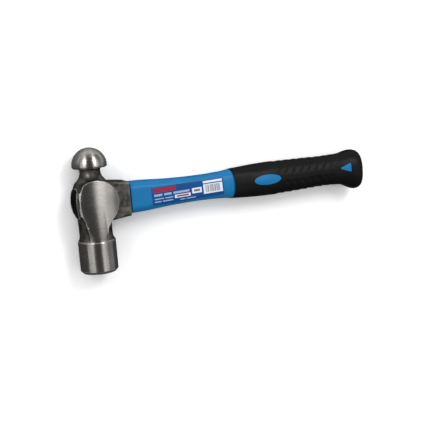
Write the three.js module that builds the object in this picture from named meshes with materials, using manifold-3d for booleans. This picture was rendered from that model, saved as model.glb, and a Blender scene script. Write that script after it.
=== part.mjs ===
// Ball peen hammer, 16 oz, with a fibreglass core, a moulded jacket and a soft rubber grip.
// Millimetres, +Z up. X runs along the handle, Y from the striking face to the ball.
// The hammer lies on its side. The origin is the point of the lower cheek that rests on the
// bench, straight under the crossing of the head's axis and the handle's axis.
import * as THREE from 'three';
import { mergeVertices } from 'three/addons/utils/BufferGeometryUtils.js';
import Module from 'manifold-3d';

const wasm = await Module();
wasm.setup();

// Clearance between neighbouring pieces
const GAP = 0.3;
const OVERCUT = 2;

// Head: Y positions are measured from the handle's axis
const CHEEK_HALF_THICKNESS = 14.7;
const CHEEK_REST_HALF_WIDTH = 3.5;
const CHEEK_CROWN_RADIUS = 48;
const CHEEK_RADIUS = 17.6;
const EYE_END_X = -15.4;
const TAIL_CENTRE_X = -1;
const TAIL_HALF_WIDTH = 6.3;
const TAIL_JOIN_ANGLE = 52;
const TAIL_FLARE = 0.5;
const TAIL_BLEND = 9;
const FACE_Y = -55.9;
const FACE_CHAMFER = 2;
const POLL_RADIUS = 14.7;
const SHOULDER_Y = -30.8;
const BALL_RADIUS = 13.6;
const BALL_Y = 28.6;
const BRIM_Y = 27;

// Forged body between the poll's shoulder and the ball: [radius, y]
const BODY_PROFILE = [
  [13.1, -28.8], [12.6, -26.3], [12.6, -17.8], [13.4, -11], [14.7, -6.8], [14.7, 6.8], [14.2, 12.6],
  [11.7, 16.4], [9, 19.5], [8.2, 23.1], [8.3, 25], [9.6, 26.1],
];
// Limit that grinding brings the cheeks down to, towards the poll and the ball: [radius, y]
const GRINDING_PROFILE = [
  [14.7, -31.8], [14.7, -28.8], [15.4, -23], [18.2, -15], [25, -6], [25, 8], [18.2, 17.6],
];

// How finely curves are divided
const HEAD_TURNS = 36;
const HANDLE_SIDES = 28;
const HANDLE_STEPS = 2;
const ARC_SEGMENTS = 8;
const BEVEL_SEGMENTS = 2;

// Socket collar, from the eye towards the handle
const COLLAR_END_X = 27;
const COLLAR_ROOT_HALF_HEIGHT = 16.4;
const COLLAR_END_HALF_HEIGHT = 12.9;
const COLLAR_HALF_THICKNESS = 10.9;
const COLLAR_BEVEL = 1.5;

// Tapered oval eye
const EYE_FRONT = { height: 11.3, side: 8.5 };
const EYE_BACK = { height: 10.1, side: 7.5 };
const RESIN_RECESS = 1.5;
const RESIN_END_WALL = 1.2;

// Fibreglass core and the dam that keeps the resin in
const CORE_HALF_HEIGHT = 6.3;
const CORE_HALF_THICKNESS = 4.4;
const CORE_END_X = 215;
const DAM_THICKNESS = 0.6;
const DAM_HALF_HEIGHT = 11.8;
const DAM_HALF_THICKNESS = 9.1;

// Handle sections: [x, top edge, bottom edge, half thickness]
const JACKET_START_X = COLLAR_END_X + DAM_THICKNESS + 2 * GAP;
const JACKET_END_X = 115.5;
const JACKET_FRONT = [
  [JACKET_START_X, 12.3, -12.3, 9.65],
  [42, 11.9, -11.9, 9.55],
  [56.7, 10.8, -10.8, 9.35],
  [71.4, 10.2, -10.2, 9.1],
  [84, 10, -10, 9],
  [96.6, 10.3, -10.3, 9.1],
  [106, 10.9, -10.9, 9.45],
  [JACKET_END_X, 11.8, -11.8, 9.9],
];
const JACKET_UNDER_GRIP = [
  [JACKET_END_X - 1, 9.7, -9.7, 7.8],
  [132, 10.1, -10.1, 8.4],
  [150, 10.5, -10.5, 8.8],
  [168, 10.4, -10.4, 8.8],
  [187, 10.1, -10.1, 8.6],
  [206, 9.9, -9.9, 8.7],
  [224.7, 11, -11, 9.5],
];
const GRIP = [
  [JACKET_END_X + GAP, 12.3, -12.3, 10.4],
  [125, 12.9, -12.9, 11.2],
  [135.5, 13.55, -13.55, 11.9],
  [147, 13.85, -13.85, 12.3],
  [159.6, 13.8, -13.75, 12.3],
  [172.2, 13.6, -13.45, 12.1],
  [184.8, 13.4, -13.05, 11.8],
  [197.4, 13.1, -12.7, 11.55],
  [209, 13, -12.7, 11.65],
  [217.4, 13.2, -13.5, 12.3],
  [223.7, 14.7, -16.2, 13.6],
  [228, 15.3, -18.1, 14.1],
  [231.2, 15, -18.2, 13.6],
  [233.8, 13.5, -17, 11.8],
  [235.6, 10.5, -14, 8.8],
  [236.6, 5, -8.5, 4.5],
  [236.9, 1, -4, 1.6],
];
const JACKET_SQUARENESS = 3.6;
const GRIP_SQUARENESS = 2.4;
const ROUND_SQUARENESS = 2.2;

// Raised oval and triangle of the jacket, which fill the windows of the grip
const PAD_RECESS = 0.25;
const OVAL = { x: 144.6, y: 0.5, halfLength: 11.8, halfHeight: 4.15 };
const TRIANGLE = { apexX: 211.8, baseX: 222.3, y: 1.6, halfHeight: 3.8 };

// Film label, stuck slightly askew
const LABEL = { x: 75.5, y: -0.5, length: 61, height: 14.1, tilt: 1.5, thickness: 0.25 };

function solidOf(geometry) {
  geometry.deleteAttribute('normal');
  geometry.deleteAttribute('uv');
  const merged = mergeVertices(geometry, 1e-4);
  return new wasm.Manifold(new wasm.Mesh({
    numProp: 3,
    vertProperties: new Float32Array(merged.attributes.position.array),
    triVerts: new Uint32Array(merged.index.array),
  }));
}

function geometryOf(solid) {
  const mesh = solid.getMesh();
  const geometry = new THREE.BufferGeometry();
  geometry.setAttribute('position', new THREE.BufferAttribute(mesh.vertProperties, 3));
  geometry.setIndex(new THREE.BufferAttribute(mesh.triVerts, 1));
  geometry.computeVertexNormals();
  return geometry;
}

function signedPower(value, power) {
  return Math.sign(value) * Math.abs(value) ** power;
}

// A closed body along X through oval sections, smooth from one section to the next
function loftAlongHandle(sections, squareness, stepsBetween = HANDLE_STEPS) {
  const edges = new THREE.CatmullRomCurve3(
    sections.map(([x, top, bottom]) => new THREE.Vector3(x, top, bottom)), false, 'catmullrom');
  const sides = new THREE.CatmullRomCurve3(
    sections.map(([x, , , side]) => new THREE.Vector3(x, side, 0)), false, 'catmullrom');
  const steps = stepsBetween * (sections.length - 1);
  const geometry = new THREE.CylinderGeometry(1, 1, 1, HANDLE_SIDES, steps);
  const position = geometry.attributes.position;
  for (let i = 0; i < position.count; i += 1) {
    const along = position.getY(i) + 0.5;
    const angle = Math.atan2(position.getZ(i), position.getX(i));
    const radius = Math.hypot(position.getX(i), position.getZ(i));
    const edge = edges.getPoint(along);
    const halfHeight = (edge.y - edge.z) / 2;
    const halfThickness = sides.getPoint(along).y;
    const y = radius * halfHeight * signedPower(Math.cos(angle), 2 / squareness);
    const z = radius * halfThickness * signedPower(Math.sin(angle), 2 / squareness);
    position.setXYZ(i, edge.x, (edge.y + edge.z) / 2 + y, -z);
  }
  return solidOf(geometry);
}

function grow(sections, amount) {
  return sections.map(([x, top, bottom, side]) => [x, top + amount, bottom - amount, side + amount]);
}

// A flat outline in X and Y, made a prism that spans z = -halfDepth to halfDepth
function prism(shape, halfDepth, bevel = 0) {
  const geometry = new THREE.ExtrudeGeometry(shape, {
    depth: 2 * (halfDepth - bevel),
    bevelEnabled: bevel > 0,
    bevelThickness: bevel,
    bevelSize: bevel,
    bevelOffset: -bevel,
    bevelSegments: BEVEL_SEGMENTS,
    curveSegments: ARC_SEGMENTS,
  });
  geometry.translate(0, 0, bevel - halfDepth);
  return geometry;
}

// A solid turned about the head's axis from [radius, y] points
function lathe(profile) {
  const points = profile.map(([radius, y]) => new THREE.Vector2(radius < 1e-6 ? 0 : radius, y));
  return solidOf(new THREE.LatheGeometry(points, HEAD_TURNS));
}

// Striking face, poll, waist, neck and ball
function turnedHead() {
  const brimAngle = Math.asin((BRIM_Y - BALL_Y) / BALL_RADIUS);
  const ball = new THREE.Path().absarc(0, BALL_Y, BALL_RADIUS, brimAngle, Math.PI / 2, false);
  const profile = [
    [0, FACE_Y], [POLL_RADIUS - FACE_CHAMFER, FACE_Y], [POLL_RADIUS, FACE_Y + FACE_CHAMFER],
    [POLL_RADIUS, SHOULDER_Y], ...BODY_PROFILE,
    ...ball.getPoints(ARC_SEGMENTS).map(({ x, y }) => [x, y]),
  ];
  return lathe(profile);
}

// Round cheek with a tail that runs down into the poll
function cheekOutline() {
  const shape = new THREE.Shape();
  const joinAngle = THREE.MathUtils.degToRad(TAIL_JOIN_ANGLE);
  const left = TAIL_CENTRE_X - TAIL_HALF_WIDTH;
  const right = TAIL_CENTRE_X + TAIL_HALF_WIDTH;
  const blendY = SHOULDER_Y + TAIL_BLEND;
  shape.absarc(0, 0, CHEEK_RADIUS, -joinAngle, Math.PI + joinAngle, false);
  shape.quadraticCurveTo(left - TAIL_FLARE, blendY, left, SHOULDER_Y);
  shape.lineTo(right, SHOULDER_Y);
  shape.quadraticCurveTo(right + TAIL_FLARE, blendY,
    CHEEK_RADIUS * Math.cos(joinAngle), -CHEEK_RADIUS * Math.sin(joinAngle));
  return shape;
}

// Both cheeks are crowned, with a narrow flat land in the middle that the hammer rests on
function crownedSlab() {
  const shape = new THREE.Shape();
  const centre = CHEEK_HALF_THICKNESS - CHEEK_CROWN_RADIUS;
  const span = COLLAR_END_X;
  const angleAt = (distance) => Math.asin(distance / CHEEK_CROWN_RADIUS);
  const up = Math.PI / 2;
  const land = CHEEK_REST_HALF_WIDTH;
  shape.absarc(land, centre, CHEEK_CROWN_RADIUS, up - angleAt(span), up, false);
  shape.absarc(-land, centre, CHEEK_CROWN_RADIUS, up, up + angleAt(-EYE_END_X - land), false);
  shape.absarc(-land, -centre, CHEEK_CROWN_RADIUS, -up - angleAt(-EYE_END_X - land), -up, false);
  shape.absarc(land, -centre, CHEEK_CROWN_RADIUS, -up, -up + angleAt(span), false);
  return solidOf(prism(shape, -FACE_Y).rotateX(Math.PI / 2));
}

function collar() {
  const shape = new THREE.Shape();
  shape.moveTo(0, -COLLAR_ROOT_HALF_HEIGHT);
  shape.lineTo(COLLAR_END_X, -COLLAR_END_HALF_HEIGHT);
  shape.lineTo(COLLAR_END_X, COLLAR_END_HALF_HEIGHT);
  shape.lineTo(0, COLLAR_ROOT_HALF_HEIGHT);
  return solidOf(prism(shape, COLLAR_HALF_THICKNESS, COLLAR_BEVEL));
}

// Section of the tapered eye at x, made smaller by inset
function eyeSection(x, inset) {
  const along = (x - EYE_END_X) / (COLLAR_END_X - EYE_END_X);
  const height = THREE.MathUtils.lerp(EYE_FRONT.height, EYE_BACK.height, along) - inset;
  const side = THREE.MathUtils.lerp(EYE_FRONT.side, EYE_BACK.side, along) - inset;
  return [x, height, -height, side];
}

function hammerHead() {
  const grindingLimit = lathe([
    [0, GRINDING_PROFILE[0][1]], ...GRINDING_PROFILE, [0, GRINDING_PROFILE.at(-1)[1]]]);
  const cheeks = solidOf(prism(cheekOutline(), 2 * CHEEK_HALF_THICKNESS))
    .intersect(crownedSlab())
    .intersect(grindingLimit);
  const eye = loftAlongHandle(
    [eyeSection(EYE_END_X - OVERCUT, 0), eyeSection(COLLAR_END_X + OVERCUT, 0)], ROUND_SQUARENESS, 1);
  return turnedHead().add(cheeks).add(collar()).subtract(eye);
}

function coreBody(startX, endX, clearance) {
  const sections = [startX, endX].map((x) => [x, CORE_HALF_HEIGHT, -CORE_HALF_HEIGHT, CORE_HALF_THICKNESS]);
  return loftAlongHandle(grow(sections, clearance), ROUND_SQUARENESS, 1);
}

const resinStartX = EYE_END_X + RESIN_RECESS;
const coreStartX = resinStartX + RESIN_END_WALL + GAP;

function eyeResin() {
  const plug = loftAlongHandle(
    [eyeSection(resinStartX, GAP), eyeSection(COLLAR_END_X, GAP)], ROUND_SQUARENESS, 1);
  return plug.subtract(coreBody(coreStartX - GAP, COLLAR_END_X + OVERCUT, GAP));
}

function fibreglassCore() {
  return coreBody(coreStartX, CORE_END_X, 0);
}

function resinDam() {
  const startX = COLLAR_END_X + GAP;
  const sections = [startX, startX + DAM_THICKNESS].map(
    (x) => [x, DAM_HALF_HEIGHT, -DAM_HALF_HEIGHT, DAM_HALF_THICKNESS]);
  return loftAlongHandle(sections, JACKET_SQUARENESS, 1)
    .subtract(coreBody(startX - OVERCUT, startX + OVERCUT, GAP));
}

function ovalPrism(clearance) {
  const shape = new THREE.Shape();
  shape.absellipse(OVAL.x, OVAL.y, OVAL.halfLength + clearance, OVAL.halfHeight + clearance,
    0, 2 * Math.PI, false);
  return solidOf(prism(shape, 2 * CHEEK_HALF_THICKNESS));
}

function trianglePrism(clearance) {
  const shape = new THREE.Shape();
  const base = TRIANGLE.baseX + clearance;
  const half = TRIANGLE.halfHeight + 1.5 * clearance;
  shape.moveTo(TRIANGLE.apexX - 2 * clearance, TRIANGLE.y);
  shape.lineTo(base, TRIANGLE.y - half);
  shape.lineTo(base, TRIANGLE.y + half);
  return solidOf(prism(shape, 2 * CHEEK_HALF_THICKNESS));
}

function handleJacket() {
  const pads = ovalPrism(0).add(trianglePrism(0))
    .intersect(loftAlongHandle(grow(GRIP, -PAD_RECESS), GRIP_SQUARENESS));
  return loftAlongHandle(JACKET_FRONT, JACKET_SQUARENESS)
    .add(loftAlongHandle(JACKET_UNDER_GRIP, GRIP_SQUARENESS, 1))
    .add(pads)
    .subtract(coreBody(JACKET_START_X - OVERCUT, CORE_END_X + GAP, GAP));
}

function rubberGrip() {
  return loftAlongHandle(GRIP, GRIP_SQUARENESS)
    .subtract(loftAlongHandle(grow(JACKET_UNDER_GRIP, GAP), GRIP_SQUARENESS, 1))
    .subtract(ovalPrism(GAP))
    .subtract(trianglePrism(GAP));
}

function productLabel() {
  const shape = new THREE.Shape();
  shape.moveTo(-LABEL.length / 2, -LABEL.height / 2);
  shape.lineTo(LABEL.length / 2, -LABEL.height / 2);
  shape.lineTo(LABEL.length / 2, LABEL.height / 2);
  shape.lineTo(-LABEL.length / 2, LABEL.height / 2);
  const film = prism(shape, CHEEK_HALF_THICKNESS / 2)
    .rotateZ(THREE.MathUtils.degToRad(LABEL.tilt))
    .translate(LABEL.x, LABEL.y, CHEEK_HALF_THICKNESS / 2);
  return solidOf(film)
    .intersect(loftAlongHandle(grow(JACKET_FRONT, GAP + LABEL.thickness), JACKET_SQUARENESS))
    .subtract(loftAlongHandle(grow(JACKET_FRONT, GAP), JACKET_SQUARENESS));
}

function piece(name, solid, color, roughness, metalness) {
  const mesh = new THREE.Mesh(
    geometryOf(solid), new THREE.MeshStandardMaterial({ color, roughness, metalness }));
  mesh.name = name;
  return mesh;
}

const hammer = new THREE.Group();
hammer.add(
  piece('hammer_head', hammerHead(), 0x8f8a84, 0.3, 1),
  piece('eye_resin', eyeResin(), 0x161616, 0.5, 0),
  piece('fibreglass_core', fibreglassCore(), 0xd8d2b8, 0.6, 0),
  piece('resin_dam', resinDam(), 0x1c1c1e, 0.8, 0),
  piece('handle_jacket', handleJacket(), 0x1b73ac, 0.35, 0),
  piece('rubber_grip', rubberGrip(), 0x262624, 0.8, 0),
  piece('product_label', productLabel(), 0x14509b, 0.3, 0),
);
hammer.position.z = CHEEK_HALF_THICKNESS;

export default hammer;
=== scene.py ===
"""Ball peen hammer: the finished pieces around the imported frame.

Every solid is shaped in millimetres about the middle of the head's thickness, and is set down on the
bench in metres when it is done. X runs along the handle, Y from the striking face to the ball.
"""

import logging
import math
from dataclasses import dataclass, fields, replace
from enum import Enum
from typing import Callable, Sequence

import bmesh
import bpy
from mathutils import Matrix, Vector


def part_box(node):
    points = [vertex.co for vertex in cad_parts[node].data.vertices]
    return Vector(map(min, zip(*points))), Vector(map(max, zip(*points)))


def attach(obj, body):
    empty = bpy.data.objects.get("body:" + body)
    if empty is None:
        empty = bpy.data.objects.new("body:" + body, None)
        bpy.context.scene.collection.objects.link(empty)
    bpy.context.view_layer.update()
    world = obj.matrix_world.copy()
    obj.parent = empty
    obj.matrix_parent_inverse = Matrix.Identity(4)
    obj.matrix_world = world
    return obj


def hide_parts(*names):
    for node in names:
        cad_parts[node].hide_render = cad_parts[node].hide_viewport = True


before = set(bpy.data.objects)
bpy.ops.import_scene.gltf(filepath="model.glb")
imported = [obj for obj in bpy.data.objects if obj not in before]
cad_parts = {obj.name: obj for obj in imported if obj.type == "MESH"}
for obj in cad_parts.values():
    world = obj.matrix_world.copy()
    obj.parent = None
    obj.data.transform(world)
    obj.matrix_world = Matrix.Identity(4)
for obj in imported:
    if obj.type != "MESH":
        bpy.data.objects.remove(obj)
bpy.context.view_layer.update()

Colour = tuple[float, float, float, float]
Pair = tuple[float, float]
Material = bpy.types.Material
Socket = bpy.types.NodeSocket

LOG = logging.getLogger("hammer")
MM = 0.001  # metres
WELD = 1e-4  # mm between points that are one point on a new solid
SLIVER = 1e-3  # mm between points that are one point on a finished piece
OVAL = 2.2  # hardness of the eye's and the core's corners
IN_LINE = 0.05  # radians by which an outline may turn at a point that it can lose
HEAD_AXIS = Vector((0, 1, 0))
QUARTER_TURN = math.pi / 2
PLAIN_CREASE = 32.0  # degrees past which an edge is sharp
SCALE_CREASE = 50.0  # the same on the grip, whose scales have soft crests
PAST = 2.0  # mm by which a tool reaches past what it cuts
ON_AXIS = 1e-6  # mm from the axis within which a point is on it


class Skin(Enum):
    """Material slots of the head, in order."""

    FORGED = 0
    GROUND = 1
    EYE_WALL = 2


class Cut(Enum):
    """How one solid works on another."""

    JOIN = "UNION"
    REMOVE = "DIFFERENCE"
    KEEP = "INTERSECT"


# ---- Material nodes ----


class NodeBench:
    """A new material and the few node calls that the finishes are built from."""

    EDGE_COSINES = (0.985, 0.9)
    COLOURS_IN = (6, 7)
    COLOUR_OUT = 2

    def __init__(self, name: str) -> None:
        """Starts an empty material.

        Args:
            name: the material's name.
        """
        self.material = bpy.data.materials.new(name)
        self.material.use_nodes = True
        self.tree = self.material.node_tree
        self.tree.nodes.clear()
        self.shader = self.add("ShaderNodeBsdfPrincipled")
        output = self.add("ShaderNodeOutputMaterial")
        self.link(self.shader.outputs["BSDF"], output.inputs["Surface"])

    def add(self, kind: str, **settings: object) -> bpy.types.Node:
        """Adds a node.

        Args:
            kind: the node's type.
            settings: its properties.

        Returns:
            The node.
        """
        node = self.tree.nodes.new(kind)
        for key, value in settings.items():
            setattr(node, key, value)
        return node

    def link(self, source: Socket, target: Socket) -> None:
        """Joins an output to an input."""
        self.tree.links.new(source, target)

    def feed(self, target: Socket, value: object) -> None:
        """Links a socket to an input, or sets the input to a constant.

        Args:
            target: the input.
            value: an output socket, a number or a colour.
        """
        if isinstance(value, Socket):
            self.link(value, target)
        else:
            target.default_value = value

    def coordinates(self, stretch: Sequence[float] = (1, 1, 1)) -> Socket:
        """Object coordinates.

        Args:
            stretch: scale along each axis.

        Returns:
            The coordinates.
        """
        source = self.add("ShaderNodeTexCoord").outputs["Object"]
        mapping = self.add("ShaderNodeMapping")
        mapping.inputs["Scale"].default_value = stretch
        self.link(source, mapping.inputs["Vector"])
        return mapping.outputs["Vector"]

    def noise(self, scale: float, detail: float = 2.0, stretch: Sequence[float] = (1, 1, 1),
              roughness: float = 0.5) -> Socket:
        """Noise from 0 to 1 over object coordinates.

        Args:
            scale: how many features there are to a metre.
            detail: octaves.
            stretch: extra scale along each axis.
            roughness: how strong the finer octaves are.

        Returns:
            The noise factor.
        """
        node = self.add("ShaderNodeTexNoise")
        node.inputs["Scale"].default_value = scale
        node.inputs["Detail"].default_value = detail
        node.inputs["Roughness"].default_value = roughness
        self.link(self.coordinates(stretch), node.inputs["Vector"])
        return node.outputs["Fac"]

    def math(self, operation: str, first: object, second: object = 0.0,
             third: object = 0.0) -> Socket:
        """Arithmetic over sockets or numbers.

        Args:
            operation: the Math node's operation.
            first: the first operand.
            second: the second operand.
            third: the third operand, where there is one.

        Returns:
            The result.
        """
        node = self.add("ShaderNodeMath", operation=operation)
        for target, value in zip(node.inputs, (first, second, third)):
            self.feed(target, value)
        return node.outputs[0]

    def ramp(self, value: object, low: float, high: float, to_low: float = 0.0,
             to_high: float = 1.0) -> Socket:
        """Maps one range to another, held at its ends.

        Args:
            value: what is mapped.
            low: the value that gives to_low.
            high: the value that gives to_high.
            to_low: the result at low.
            to_high: the result at high.

        Returns:
            The mapped value.
        """
        node = self.add("ShaderNodeMapRange", clamp=True)
        names = ("From Min", "From Max", "To Min", "To Max")
        for name, number in zip(names, (low, high, to_low, to_high)):
            node.inputs[name].default_value = number
        self.feed(node.inputs["Value"], value)
        return node.outputs["Result"]

    def mix(self, factor: object, first: object, second: object) -> Socket:
        """Blends two colours.

        Args:
            factor: the share of the second.
            first: the first colour.
            second: the second colour.

        Returns:
            The blend.
        """
        node = self.add("ShaderNodeMix", data_type="RGBA")
        self.feed(node.inputs["Factor"], factor)
        for index, colour in zip(self.COLOURS_IN, (first, second)):
            self.feed(node.inputs[index], colour)
        return node.outputs[self.COLOUR_OUT]

    def bump(self, height: object, strength: float, distance: float,
             under: Socket | None = None) -> Socket:
        """A bumped normal.

        Args:
            height: the height socket.
            strength: from 0 to 1.
            distance: the height of the relief in metres.
            under: a normal that this one lies on.

        Returns:
            The normal.
        """
        node = self.add("ShaderNodeBump")
        node.inputs["Strength"].default_value = strength
        node.inputs["Distance"].default_value = distance
        self.feed(node.inputs["Height"], height)
        if under is not None:
            self.link(under, node.inputs["Normal"])
        return node.outputs["Normal"]

    def softened(self, radius: float) -> Socket:
        """A normal that turns round edges instead of breaking at them.

        Args:
            radius: the radius of the turn, in metres.

        Returns:
            The normal.
        """
        node = self.add("ShaderNodeBevel", samples=6)
        node.inputs["Radius"].default_value = radius
        return node.outputs["Normal"]

    def edges(self, soft: Socket) -> Socket:
        """Where sharp edges are.

        Args:
            soft: a softened normal.

        Returns:
            1 on sharp edges and 0 elsewhere.
        """
        compare = self.add("ShaderNodeVectorMath", operation="DOT_PRODUCT")
        self.link(soft, compare.inputs[0])
        self.link(self.add("ShaderNodeNewGeometry").outputs["Normal"], compare.inputs[1])
        return self.ramp(compare.outputs["Value"], *self.EDGE_COSINES)

    def set(self, **values: object) -> None:
        """Sets or links shader inputs, named with underscores for spaces."""
        for key, value in values.items():
            self.feed(self.shader.inputs[key.replace("_", " ")], value)


def rgb(red: float, green: float, blue: float) -> Colour:
    """A linear colour with full alpha."""
    return (red, green, blue, 1.0)


@dataclass(frozen=True)
class GroundSteel:
    """Steel ground on a belt as the head turned: bright, with fine lines round the axis, and a
    painted highlight along its sharp edges.
    """

    colour: Colour = rgb(0.60, 0.575, 0.55)
    worn: Colour = rgb(0.47, 0.45, 0.43)
    # rim is a painted highlight: the paler colour that sharp edges are given
    rim: Colour = rgb(0.72, 0.7, 0.67)
    painted_highlight_width: float = 0.0007
    softening: float = 0.0005
    clouds_per_metre: float = 90.0
    lines_per_metre: float = 2600.0
    line_depth: float = 0.00003
    anisotropy: float = 0.85

    def material(self) -> Material:
        """The finish.

        Returns:
            The material.
        """
        bench = NodeBench("ground_steel")
        lines = bench.noise(1.0, 3.0, (60.0, self.lines_per_metre, 60.0), 0.6)
        cloud = bench.noise(self.clouds_per_metre, 3.0)
        # painted highlight: sharp edges get a paler colour and less metal, so they look lit
        rim = bench.edges(bench.softened(self.painted_highlight_width))
        ground = bench.mix(bench.ramp(cloud, 0.35, 0.7), self.colour, self.worn)
        bench.set(
            Base_Color=bench.mix(rim, ground, self.rim),
            Metallic=bench.ramp(rim, 0.0, 1.0, 1.0, 0.6),
            Roughness=bench.ramp(bench.math("ADD", lines, cloud), 0.7, 1.3, 0.24, 0.34),
            Anisotropic=self.anisotropy,
            Normal=bench.bump(lines, 0.6, self.line_depth, bench.softened(self.softening)),
            Tangent=self.along_meridian(bench),
        )
        return bench.material

    def along_meridian(self, bench: NodeBench) -> Socket:
        """The direction on the surface that lies in a plane with the head's axis.

        Args:
            bench: the steel's nodes.

        Returns:
            The direction.
        """
        normal = bench.add("ShaderNodeNewGeometry").outputs["Normal"]
        around = bench.add("ShaderNodeVectorMath", operation="CROSS_PRODUCT")
        bench.link(normal, around.inputs[0])
        around.inputs[1].default_value = HEAD_AXIS
        meridian = bench.add("ShaderNodeVectorMath", operation="CROSS_PRODUCT")
        bench.link(around.outputs[0], meridian.inputs[0])
        bench.link(normal, meridian.inputs[1])
        return meridian.outputs[0]


@dataclass(frozen=True)
class ForgedSkin:
    """Dark scale left by the forge and the quench, with edges lightened partly by wear and partly by
    a painted highlight.
    """

    dark: Colour = rgb(0.04, 0.037, 0.032)
    light: Colour = rgb(0.18, 0.169, 0.153)
    # worn is the edges' colour: partly bare worn steel, partly a painted highlight
    worn: Colour = rgb(0.6, 0.58, 0.55)
    edge_width: float = 0.0017
    softening: float = 0.0005
    sheltered_x: Pair = (0.0235, 0.0255)
    patches_per_metre: float = 130.0
    dents_per_metre: float = 260.0
    dent_depth: float = 0.00035
    grain_per_metre: float = 1500.0
    grain_depth: float = 0.00008

    def material(self) -> Material:
        """The finish.

        Returns:
            The material.
        """
        bench = NodeBench("forged_skin")
        patches = bench.noise(self.patches_per_metre, 5.0, roughness=0.62)
        grain = bench.noise(self.grain_per_metre, 3.0)
        dents = bench.noise(self.dents_per_metre, 2.0)
        soft = bench.softened(self.softening)
        normal = bench.bump(dents, 0.5, self.dent_depth, soft)
        scale = bench.mix(bench.ramp(patches, 0.42, 0.66), self.dark, self.light)
        # edges lightened partly by wear and partly by a painted highlight, with less metal
        every_edge = bench.edges(bench.softened(self.edge_width))
        edge = bench.math("MULTIPLY", every_edge, self.wear_and_highlight_share(bench))
        bench.set(
            Base_Color=bench.mix(edge, scale, self.worn),
            Metallic=bench.ramp(edge, 0.0, 1.0, 0.82, 0.6),
            Roughness=bench.ramp(patches, 0.35, 0.7, 0.5, 0.36),
            Normal=bench.bump(grain, 0.5, self.grain_depth, normal),
        )
        return bench.material

    def wear_and_highlight_share(self, bench: NodeBench) -> Socket:
        """How much an edge is lightened by wear and painted highlight: fully, but hardly at the
        collar's end, against the jacket.

        Args:
            bench: the skin's nodes.

        Returns:
            The share of the lightening.
        """
        place = bench.add("ShaderNodeSeparateXYZ")
        bench.link(bench.coordinates(), place.inputs[0])
        return bench.ramp(place.outputs["X"], *self.sheltered_x, 1.0, 0.15)


@dataclass(frozen=True)
class Moulding:
    """A moulded polymer: a colour that drifts a little, fine grain and slight unevenness."""

    name: str
    colour: Colour
    drift: Colour
    roughness: Pair
    clouds_per_metre: float = 70.0
    grain_per_metre: float = 2400.0
    grain_depth: float = 0.00002
    waves_per_metre: float = 45.0
    wave_depth: float = 0.0
    specular: float = 0.5

    def material(self) -> Material:
        """The finish.

        Returns:
            The material.
        """
        bench = NodeBench(self.name)
        cloud = bench.noise(self.clouds_per_metre, 3.0)
        grain = bench.noise(self.grain_per_metre, 2.0)
        normal = bench.bump(grain, 0.4, self.grain_depth)
        if self.wave_depth:
            waves = bench.noise(self.waves_per_metre, 1.0)
            normal = bench.bump(waves, 0.6, self.wave_depth, normal)
        bench.shader.inputs["Specular IOR Level"].default_value = self.specular
        bench.set(
            Base_Color=bench.mix(bench.ramp(cloud, 0.3, 0.7), self.colour, self.drift),
            Roughness=bench.ramp(cloud, 0.3, 0.7, *self.roughness),
            Normal=normal,
        )
        return bench.material


@dataclass(frozen=True)
class GlassRod:
    """Pultruded rod: pale resin with strands along it."""

    resin: Colour = rgb(0.62, 0.56, 0.38)
    strand: Colour = rgb(0.82, 0.8, 0.68)
    strands_per_metre: float = 2600.0
    strand_depth: float = 0.00004

    def material(self) -> Material:
        """The finish.

        Returns:
            The material.
        """
        bench = NodeBench("glass_rod")
        across = self.strands_per_metre
        strands = bench.noise(1.0, 3.0, (25.0, across, across))
        bench.set(
            Base_Color=bench.mix(bench.ramp(strands, 0.35, 0.65), self.resin, self.strand),
            Roughness=0.42,
            Normal=bench.bump(strands, 0.5, self.strand_depth),
        )
        return bench.material


@dataclass(frozen=True)
class Block:
    """A printed rectangle on the label, in fractions of its length and height."""

    left: float
    right: float
    low: float
    high: float
    ink: Colour
    marks_per_length: float = 0.0
    fill: float = 0.5


WHITE_INK = rgb(0.52, 0.58, 0.66)
RED_INK = rgb(0.22, 0.014, 0.042)
GREY_INK = rgb(0.12, 0.10, 0.095)
TEXT_INK = rgb(0.22, 0.31, 0.45)


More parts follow.
